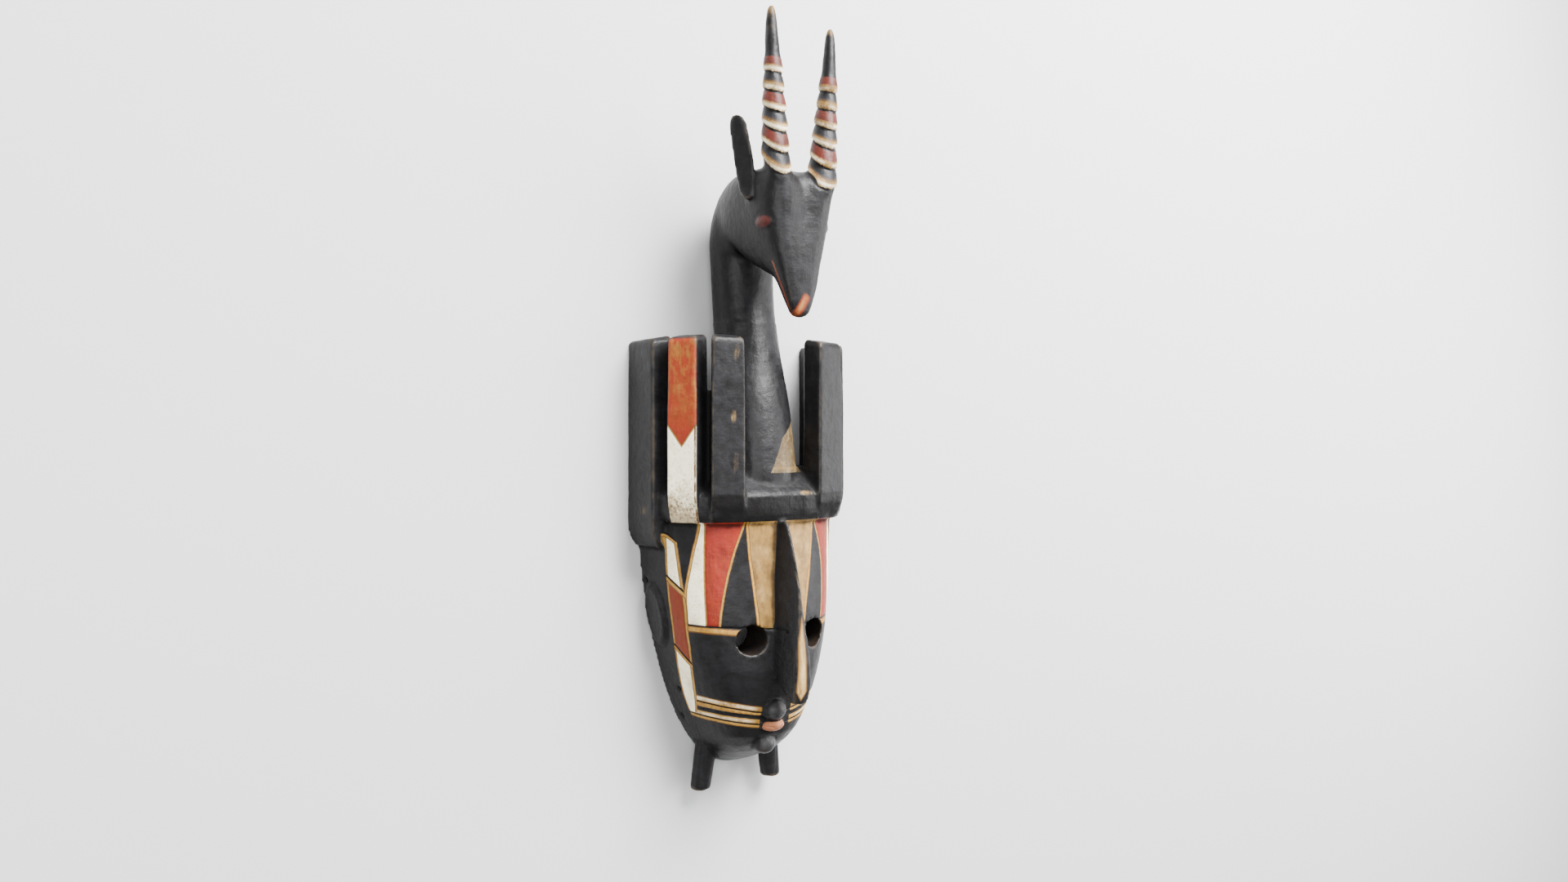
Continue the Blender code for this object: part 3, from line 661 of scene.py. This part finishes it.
def panel_paint(wood, paints):
    """The fields over the brow, from the side strip in to the nose: white, red, black and cream."""
    level, at, left = wood.level, wood.at, wood.left
    white_out = face_line(level, WHITE_OUTSIDE) - at
    red_out = face_line(level, RED_OUTSIDE) - at
    red_in = pick(left, face_line(level, RED_INSIDE_RIGHT), face_line(level, RED_INSIDE_LEFT)) - at
    cream_right = face_line(level, CREAM_OUTSIDE_RIGHT)
    cream_left = face_line(level, CREAM_OUTSIDE_LEFT)
    cream_out = pick(left, cream_right, cream_left) - at
    panel = lay(paints.white, paints.red, red_out.inside())
    panel = lay(panel, paints.black, red_in.inside())
    panel = lay(panel, paints.cream, cream_out.inside())
    panel = lay(panel, paints.black, (0.0 - white_out).inside())
    panel = paints.gold(panel, white_out + 0.5, 1.35)
    panel = paints.gold(panel, red_out, 0.7)
    panel = paints.gold(panel, red_in, 1.15)
    return paints.gold(panel, cream_out + 0.8, 1.35)


def mouth_paint(wood, paints, lines):
    """The bands beside the mouth: pale above and below a black one, with painted shade in the cuts between
    them.
    """
    upper, lower = lines.upper_mouth, lines.lower_mouth
    whiter = wood.mix(patch=0.5, cloud=0.5).over(0.40, 0.60) * (wood.wide - 16.0).over(0.0, 8.0)
    pale = lay(paints.ochre, paints.white, whiter * 0.8)
    mouth = lay(paints.ochre, pale, (upper - 2.7).within(1.4, 0.8).most((lower - 1.9).within(1.1, 0.6)))
    mouth = lay(mouth, DARK_OCHRE, (upper - 4.9).within(0.5).most((lower + 2.8).within(0.4)))
    mouth = lay(mouth, paints.black, lines.mouth_band.within(BAND_HALF_WIDTH))
    # painted shade in the cuts between the bands
    return lay(mouth, SOOT_AND_SHADE, upper.within(0.6).most(lower.within(0.6)))


def strip_paint(wood, paints, lines, mouth):
    """The side strip, white and brick red between its carved steps, and where it lies."""
    past_start = wood.at - STEPS_START
    top_step = above(wood.level, past_start, STRIP_TOP)
    upper_step = above(wood.level, past_start, UPPER_STEP)
    lower_step = above(wood.level, past_start, LOWER_STEP)
    strip = lay(paints.white, paints.brick, (0.0 - upper_step - 4.6).inside() * lower_step.inside())
    strip = paints.gold(strip, lines.strip_in - 1.5, 1.6)
    strip = paints.gold(strip, lines.strip_out - 1.0, 1.1)
    strip = paints.gold(strip, top_step + 1.6, 1.4)
    strip = paints.gold(strip, upper_step + 2.6, 2.1)
    strip = paints.gold(strip, lower_step + 2.2, 1.7)
    # painted shade in the cuts of the strip's steps
    cuts = upper_step.within(0.8).most(lower_step.within(0.8)).most(top_step.within(0.5))
    strip = lay(strip, SOOT_AND_SHADE, cuts * (lines.strip_in - 1.0).inside())
    strip = lay(strip, mouth, (0.9 - lines.lower_mouth).inside())
    where = lines.strip_out.inside() * lines.strip_in.inside() * (0.0 - top_step).inside()
    return strip, where * (lines.lower_mouth + 3.1).inside()


def with_sight_holes(face, wood, paints, lines):
    """The sight holes are plain dark wood inside, with a painted highlight on the lower rim."""
    across = wood.x - pick(wood.left, RIGHT_HOLE, LEFT_HOLE)
    up = (wood.y - HOLES_HEIGHT) * 1.06
    off_middle = (across * across + up * up).math("SQRT")
    # a painted highlight on the lower rim of each hole
    rim = (off_middle - HOLE_RADIUS).within(0.5, 0.8) * (0.0 - up - 3.0).inside(4.0)
    inner_wood = lay(BROWN_RUB, paints.black, wood.mix(patch=0.5, fleck=0.5).over(0.40, 0.60))
    under_panel = 1.0 - lines.panel.inside(0.5)
    face = lay(face, paints.black, (HOLE_RADIUS + 0.6 - off_middle).inside(0.6) * under_panel)
    face = lay(face, GREY_RUB_AND_HIGHLIGHT, rim * 0.9)
    return lay(face, inner_wood, (HOLE_RADIUS - 0.4 - off_middle).inside(0.5))


def with_nose(face, wood, paints):
    """The nose and the lips stand in front of the face and stay black."""
    y, z, wide = wood.y, wood.z, wood.wide
    skin = y.node("ShaderNodeFloatCurve", {"curve": SKIN_DEPTHS}, {1: (y + 260.0) / 180.0}) * 100.0
    half = y.node("ShaderNodeFloatCurve", {"curve": NOSE_WIDTHS}, {1: (y + 224.1) / 139.0}) * 10.0
    nose = (half - wide).inside(0.5) * (z - skin + 3.0).inside(1.0) * (y + 225.0).inside()
    proud = (z - skin - 2.2).inside(0.6) * (14.0 - wide).inside(1.0)
    return lay(face, paints.black, nose.most(proud))


def with_worn_nose(face, wood):
    """The front of the nose is worn pale from its middle down, and its ridge in a fine line above."""
    x, y, z = wood.x, wood.y, wood.z
    down = (-157.0 - y).most(0.0)
    off_middle = abs(x + 0.1 + (down * 0.07).least(1.3) + wood.waver * 0.4)
    half = (down * 0.135 + 0.6).least(down * 0.045 + 2.4) - (-214.0 - y).most(0.0) * 0.7
    inward = half - off_middle
    worn = inward.inside(0.6) * (z - 105.0).inside(1.0) * (-157.0 - y).inside(2.0)
    face = lay(face, DARK_OCHRE, worn)
    face = lay(face, CREAM, (inward - 0.8).inside(1.2) * worn)
    face = lay(face, DIRTY_WHITE, (inward - 1.8).inside(1.6) * worn * wood.scratch.over(0.35, 0.60))
    face = lay(face, DARK_WOOD, (x - 1.6 - down * 0.020).within(0.4, 0.8) * worn * 0.5)
    ridge = (x + 3.5 + (y + 105.0) * 0.117).within(0.35, 0.6) * (z - 100.0).inside()
    ridge = ridge * (-104.0 - y).inside(6.0) * (y + 160.0).inside() * wood.patch.over(0.35, 0.55)
    return lay(face, EDGE_RUB, ridge)


def face_paint(wood, paints):
    """The whole painted face below the comb."""
    lines = FaceLines(wood)
    under_panel = (wood.wide - 36.0).inside(0.8) * lines.off_strip
    # an ochre line below the panel, its darker border painted shade of the cut
    face = lay(paints.black, DARK_OCHRE, (lines.panel + 3.2).within(2.6) * under_panel)
    face = lay(face, paints.ochre, (lines.panel + 3.1).within(1.6, 0.6) * under_panel)
    mouth = mouth_paint(wood, paints, lines)
    beside_lips = (abs(wood.x + 3.0) - 10.6).inside(1.0)
    bands = (5.2 - lines.upper_mouth).inside() * (lines.lower_mouth + 3.1).inside() * beside_lips
    face = lay(face, mouth, bands * lines.off_strip)
    face = lay(face, panel_paint(wood, paints), lines.panel.inside(0.5) * lines.off_strip)
    # painted shade in the cut along the panel's lower edge
    face = lay(face, SOOT_AND_SHADE, lines.panel.within(0.6) * lines.off_strip)
    strip, in_strip = strip_paint(wood, paints, lines, mouth)
    face = lay(face, strip, in_strip)
    face = with_sight_holes(face, wood, paints, lines)
    face = with_nose(face, wood, paints)
    return with_worn_nose(face, wood)


def bar_paint(wood, paints):
    """The outer face of each side bar of the comb, red down to a point over white, and where it lies."""
    y = wood.y
    past_x = wood.wide - BAR_MIDDLE_X
    past_z = wood.z - BAR_MIDDLE_Z
    across = past_z * BAR_COSINE - past_x * BAR_SINE
    out = past_x * BAR_COSINE + past_z * BAR_SINE
    foot_share = ((BAR_FOOT - y) / 22.0).most(0.0)
    point = wood.level - (abs(across) * 1.35 - 24.2)
    red = lay(paints.red, ORANGE_RED, wood.patch.over(0.36, 0.56) * 0.75)
    scraped = wood.mix(dent=0.5, scratch=0.6).over(0.52, 0.70) * (y - 5.0).over(-25.0, 25.0)
    red = lay(red, OCHRE, scraped * 0.75)
    red = lay(red, DEEP_RED, wood.mix(scratch=0.6, patch=0.5).over(0.58, 0.72) * 0.6)
    dirt = (wood.mix(patch=0.5, fleck=0.5) + (BAR_FOOT - y) * 0.012).over(0.38, 0.66)
    white = lay(paints.white, CREAM, dirt * 0.7)
    white = lay(white, DARK_WOOD, (dirt * 1.6 - 1.0).over(0.0, 0.6) * wood.fleck.over(0.45, 0.65) * 0.6)
    bar = lay(white, red, point.inside())
    bar = paints.gold(bar, point + 1.0, 1.1)
    inner_edge = (across - 11.4).within(0.8, 0.8) * wood.patch.over(0.30, 0.50)
    bar = lay(bar, DARK_OCHRE, inner_edge * (0.0 - point).inside())
    bar = lay(bar, DARK_WOOD, point.within(0.4) * 0.7)
    where = (out + foot_share * foot_share * 6.0 + 1.3).inside(0.5) * (12.2 - abs(across)).inside(0.6)
    where = where * (y + 84.5).inside() * (58.0 - y).inside(2.0)
    return bar, where * (pick(wood.left, 9.4, 12.6) - across).inside(0.6)


def horn_paint(wood, paints):
    """The horns, each ring cream at its lip and red or black above it, and where they lie."""
    band = wood.ring + (wood.fleck - 0.5) * 0.10 + wood.waver * 0.02
    turn = band.math("FRACT")
    odd = (band.math("FLOOR") * 0.5).math("FRACT").over(0.2, 0.3)
    red = lay(HORN_RED, BROWN_RUB, wood.mix(patch=0.5, fleck=0.5).over(0.46, 0.64) * 0.6)
    body = lay(lay(paints.black, GREY_RUB_AND_HIGHLIGHT, turn.over(0.90, 0.60) * 0.8), red, odd)
    # a painted highlight along the crest of each lip
    lip_highlight = (0.15 - abs(turn - 0.22)).over(0.0, 0.12) * (wood.cloud + wood.fleck * 0.3).over(0.50, 0.75)
    lip = lay(paints.cream, WHITE, lip_highlight * 0.8)
    lip_end = pick(odd, 0.46, 0.42)
    horn = lay(body, DARK_CREAM, (lip_end + 0.10 - turn).inside(0.12) * (1.0 - odd) * 0.8)
    horn = lay(horn, lip, (lip_end - turn).inside(0.08))
    # painted shadow in the undercut at the foot of each lip
    horn = lay(horn, SOOT_AND_SHADE, (0.080 - turn).inside(0.04).most((turn - 0.935).inside(0.04)))
    horn = lay(horn, paints.black, (band - 5.86).inside(0.05))
    tip = (wood.y + wood.x.inside(0.2) * RIGHT_HORN_LOWER - 300.0) / 12.0
    worn_tip = (tip + wood.patch * 0.8 + wood.grain * 0.4).over(0.75, 1.15)
    horn = lay(horn, BARE_WOOD_AND_HIGHLIGHT, worn_tip * 0.85)
    where = (band - 0.01).inside(0.04) * (2.6 - wood.off_horn).inside(0.5)
    return horn, where * (wood.y - HORNS_ABOVE).inside()


def with_antelope_face(colour, wood):
    """The antelope's red muzzle, the line of its mouth and its eyes."""
    y, z, wide = wood.y, wood.z, wood.wide
    snout_x = wood.x + 5.1
    snout_y = y - HEAD_LOW
    off = snout_x * 0.86 - snout_y * 0.52
    along = snout_x * 0.52 + snout_y * 0.86
    snout = (off + (wood.patch - 0.5) * 2.0).within(3.4, 2.2) * (along - 8.5).within(8.5, 3.5)
    snout = snout * (z - 104.0).inside(2.0)
    colour = lay(colour, BRICK, snout * 0.9)
    colour = lay(colour, ORANGE_RED, snout * (off + 0.2).within(2.0, 1.8) * 0.6)
    rubbed = snout * (off + 0.2).within(1.6, 1.8) * wood.scratch.over(0.38, 0.62)
    colour = lay(colour, BARE_WOOD_AND_HIGHLIGHT, rubbed * 0.8)

    corner_down = 114.7 - y
    mouth = z * 0.559 - wide * 0.829 - 40.4 - corner_down * 0.370
    by_mouth = (y - 98.5).within(18.5, 2.0) * (wide - 6.0 + corner_down * 0.12).inside()
    by_mouth = by_mouth * (z - 72.0).inside()
    # painted shade along one side of the carved mouth line
    colour = lay(colour, SOOT_AND_SHADE, (mouth + 1.6).within(1.0, 1.0) * by_mouth * 0.8)
    colour = lay(colour, BRICK, mouth.within(0.5, 0.8) * by_mouth * 0.8)
    # a painted highlight on the upper end of the mouth line
    mouth_highlight = mouth.within(0.2, 0.6) * by_mouth * (y - 108.0).inside(6.0)
    colour = lay(colour, BARE_WOOD_AND_HIGHLIGHT, mouth_highlight * 0.5)

    iris = near((wide, y, z), ANTELOPE_EYE, (5.0, 4.2, 8.0))
    return lay(colour, EYE_RED, (iris + 0.1).inside(0.8) * 0.9)


def with_chest_patch(colour, wood):
    """A bare patch low on the antelope's neck, on the viewer's right."""
    x, y = wood.x, wood.y
    slope = (y + 19.0) * 0.49
    chest = (x - 7.0 - slope.most((y + 19.0) * 1.1) + wood.waver).inside(0.8)
    chest = chest * (wood.z - 52.0).inside() * (30.0 - x).inside()
    chest = chest * (y + 46.5).inside() * (-5.0 - y).inside(1.0)
    bare = lay(PATCH_GREY, DARK_WOOD, wood.mix(patch=0.5, fleck=0.5).over(0.42, 0.60) * 0.7)
    bare = lay(bare, DIRTY_WHITE, wood.mix(cloud=0.5, dent=0.5).over(0.52, 0.66) * 0.3)
    low_rim = (y + 43.0 + wood.waver * 3.0).within(1.0, 1.5) * wood.fleck.over(0.35, 0.60)
    bare = lay(bare, CREAM, low_rim * 0.6)
    return lay(colour, bare, chest)


def with_lips(colour, wood):
    """The pink lower lip, and a painted sheen on the upper lip and the chin ball."""
    x, y, z = wood.x, wood.y, wood.z
    lower_lip = near((x, y), (-2.0, -247.6), (11.0, 6.0)).inside(0.15) * (z - 75.0).inside()
    lip_paint = lay(LIP_PINK, DEEP_RED, wood.patch.over(0.50, 0.75) * 0.6)
    colour = lay(colour, lip_paint, lower_lip * (-243.4 - y).inside(0.8))
    upper_lip = (y + 234.0).within(8.0, 3.0) * (x + 3.0).within(9.0, 3.0) * (z - 82.0).inside(2.0)
    chin_ball = (y + 262.0).within(6.0, 3.0) * (x + 3.6).within(8.0, 3.0) * (z - 68.0).inside(2.0)
    return lay(colour, LIP_SHEEN, upper_lip.most(chin_ball) * wood.dent.over(0.10, 0.60) * 0.8)


# Where handling chipped the black: the middle of each place, its reach along each axis, and how much
CHIPS = (
    ((-42.0, 46.0, 84.0), (5.0, 12.0, 8.0), 1.0),
    ((-44.7, -2.0, 84.0), (4.0, 9.0, 8.0), 1.0),
    ((-43.4, -37.0, 84.0), (4.5, 14.0, 8.0), 1.0),
    ((-91.0, -76.0, 26.0), (6.0, 12.0, 12.0), 0.9),
    ((24.0, -62.0, 84.0), (14.0, 4.0, 6.0), 1.0),
)


def with_wear(colour, wood):
    """The black is rubbed grey along standing edges, chipped in places, and darker in the hollows with
    dirt and painted shade.
    """
    loose_patch = wood.patch - 0.5
    loose_scratch = wood.scratch - 0.5
    rubbed = wood.edge + loose_patch * 2.0 + loose_scratch * 0.8
    colour = lay(colour, EDGE_RUB, rubbed.over(0.80, 1.40) * 0.50)
    place = (wood.x, wood.y, wood.z)
    spots = [near(place, centre, reach) * share for centre, reach, share in CHIPS]
    chips = spots[0].most(0.0)
    for spot in spots[1:]:
        chips = chips.most(spot)
    worn_through = chips * 0.9 + (wood.edge - 0.6) * 0.30 + loose_scratch * 1.0 + loose_patch * 1.2
    colour = lay(colour, EDGE_RUB, worn_through.over(0.40, 0.90) * 0.8)
    chipped = worn_through + (wood.fleck - 0.5) * 0.6
    colour = lay(colour, BARE_WOOD_AND_HIGHLIGHT, chipped.over(0.65, 1.10) * 0.8)
    peg_ends = (-306.6 - wood.y + loose_patch * 5.0).inside(1.5)
    colour = lay(colour, EDGE_RUB, peg_ends * 0.8)
    # dirt and painted shade in the hollows
    dirt_and_shade = (wood.edge * -1.0 + loose_patch * 0.3).over(0.20, 0.65)
    return lay(colour, SOOT_AND_SHADE, dirt_and_shade * 0.7)


def painted_wood():
    """The mask's one material: black wood, its painted fields, its wear, and painted shade and highlights.
    """
    material = bpy.data.materials.new("Painted_Wood")
    material.use_nodes = True
    tree = material.node_tree
    shader = tree.nodes["Principled BSDF"]
    wood = Surface(tree)
    paints = Paints(wood)
    # painted shade on the front of the comb just above the face
    shaded_ledge_front = (wood.y + 72.0).within(9.5, 2.0) * (wood.z - 80.0).inside(2.0)
    colour = lay(paints.black, SOOT_AND_SHADE, shaded_ledge_front * 0.9)
    on_face = (FACE_TOP - wood.y).inside(0.4) * (wood.z - 13.0).inside(1.0)
    colour = lay(colour, face_paint(wood, paints), on_face)
    for paint, where in (bar_paint(wood, paints), horn_paint(wood, paints)):
        colour = lay(colour, paint, where)
    colour = with_antelope_face(colour, wood)
    colour = with_chest_patch(colour, wood)
    colour = with_lips(colour, wood)
    colour = with_wear(colour, wood)
    tree.links.new(colour.socket, shader.inputs["Base Color"])
    brightness = colour.node("ShaderNodeRGBToBW", {}, {0: colour})
    dull_corners = (wood.edge * -1.0).over(0.15, 0.60) * 0.35
    rough = 0.42 + brightness * 0.40 + (wood.patch - 0.5) * 0.20 + (wood.grain - 0.5) * 0.10
    tree.links.new((rough + dull_corners).socket, shader.inputs["Roughness"])
    height = wood.mix(grain=0.12, fleck=0.18, dust=0.06, dent=1.1, ripple=0.28)
    bump = height.node("ShaderNodeBump", {}, {"Strength": 0.55, "Distance": 0.0008, "Height": height})
    tree.links.new(bump.socket, shader.inputs["Normal"])
    shader.inputs["Specular IOR Level"].default_value = 0.16
    return material


mask = fine_block(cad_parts["carved_mask"])
ease(mask.data, EASE_ROUNDS)
deepen_jaw(mask.data)
soften(mask.data, antelope_share(points_of(mask.data)), *ANTELOPE_SOFTENING)
soften(mask.data, horn_share(points_of(mask.data)), *HORN_SOFTENING)
refine_near_cuts(mask.data)
stands_out = bend_map(mask.data, BEND_ROUNDS)
points = points_of(mask.data)
rings, off_skin = horn_rings(points)
depth = face_cut_depth(points) - ring_relief(points) + tool_marks(points)
place_points(mask.data, points - normals_of(mask.data) * depth[:, None] / 1000)
for name, values in (("standing_out", stands_out), ("horn_ring", rings), ("off_horn", off_skin)):
    layer = mask.data.attributes.new(name, "FLOAT", "POINT")
    layer.data.foreach_set("value", values.astype(np.float32))
thin_out(mask)
mask.data.shade_smooth()
mask.data.materials.clear()
mask.data.materials.append(painted_wood())
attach(mask, "root")
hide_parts("carved_mask")

# The floor and the light
# A plain pale floor that the mask lies on. One large soft lamp past the horns stands for a window,
# and two weaker ones and a pale sky fill its shadows.

FLOOR_SIZE = 20.0
FLOOR_COLOUR = (0.52, 0.52, 0.52, 1.0)
FLOOR_ROUGHNESS = 0.9
# Each lamp's name, place, size in metres and power in watts
LAMPS = (
    ("Window", (0.55, 1.45, 1.35), 1.2, 290),
    ("Side", (1.60, 0.05, 0.95), 1.1, 45),
    ("Fill", (-1.1, 0.3, 1.7), 1.2, 35),
)
LAMPS_AIM = (0.0, 0.0, 0.05)
SKY_COLOUR = (0.95, 0.97, 1.0, 1.0)
SKY_STRENGTH = 0.80


def pale_floor():
    mesh = bpy.data.meshes.new("Floor")
    half = FLOOR_SIZE / 2
    corners = [(-half, -half, 0), (half, -half, 0), (half, half, 0), (-half, half, 0)]
    mesh.from_pydata(corners, [], [(0, 1, 2, 3)])
    floor = bpy.data.objects.new("Floor", mesh)
    bpy.context.scene.collection.objects.link(floor)
    material = bpy.data.materials.new("Floor_Paint")
    material.use_nodes = True
    shader = material.node_tree.nodes["Principled BSDF"]
    shader.inputs["Base Color"].default_value = FLOOR_COLOUR
    shader.inputs["Roughness"].default_value = FLOOR_ROUGHNESS
    mesh.materials.append(material)
    return floor


def soft_lamp(name, place, size, power):
    data = bpy.data.lights.new(name, "AREA")
    data.shape = "SQUARE"
    data.size = size
    data.energy = power
    lamp = bpy.data.objects.new(name, data)
    lamp.location = place
    lamp.rotation_euler = (Vector(LAMPS_AIM) - Vector(place)).to_track_quat("-Z", "Y").to_euler()
    bpy.context.scene.collection.objects.link(lamp)


pale_floor()
for lamp in LAMPS:
    soft_lamp(*lamp)
world = bpy.data.worlds.new("Sky")
bpy.context.scene.world = world
world.use_nodes = True
sky = world.node_tree.nodes["Background"]
sky.inputs["Color"].default_value = SKY_COLOUR
sky.inputs["Strength"].default_value = SKY_STRENGTH

# The camera
# It looks down on the lying mask from the viewer's left, as the photograph does. Its lens and place
# are worked out from the photograph's frame.

CAMERA_PLACE = (-0.4702, -0.0211, 0.7839)
CAMERA_TURN = math.radians(34.0)
LENS_PIXELS = 1304.0
PHOTO_WIDTH = 1920.0
SENSOR_WIDTH = 36.0

camera_data = bpy.data.cameras.new("Camera")
camera_data.sensor_width = SENSOR_WIDTH
camera_data.lens = SENSOR_WIDTH * LENS_PIXELS / PHOTO_WIDTH
camera_data.clip_start = 0.01
camera = bpy.data.objects.new("Camera", camera_data)
camera.location = CAMERA_PLACE
camera.rotation_euler = (0.0, -CAMERA_TURN, 0.0)
bpy.context.scene.collection.objects.link(camera)
bpy.context.scene.camera = camera
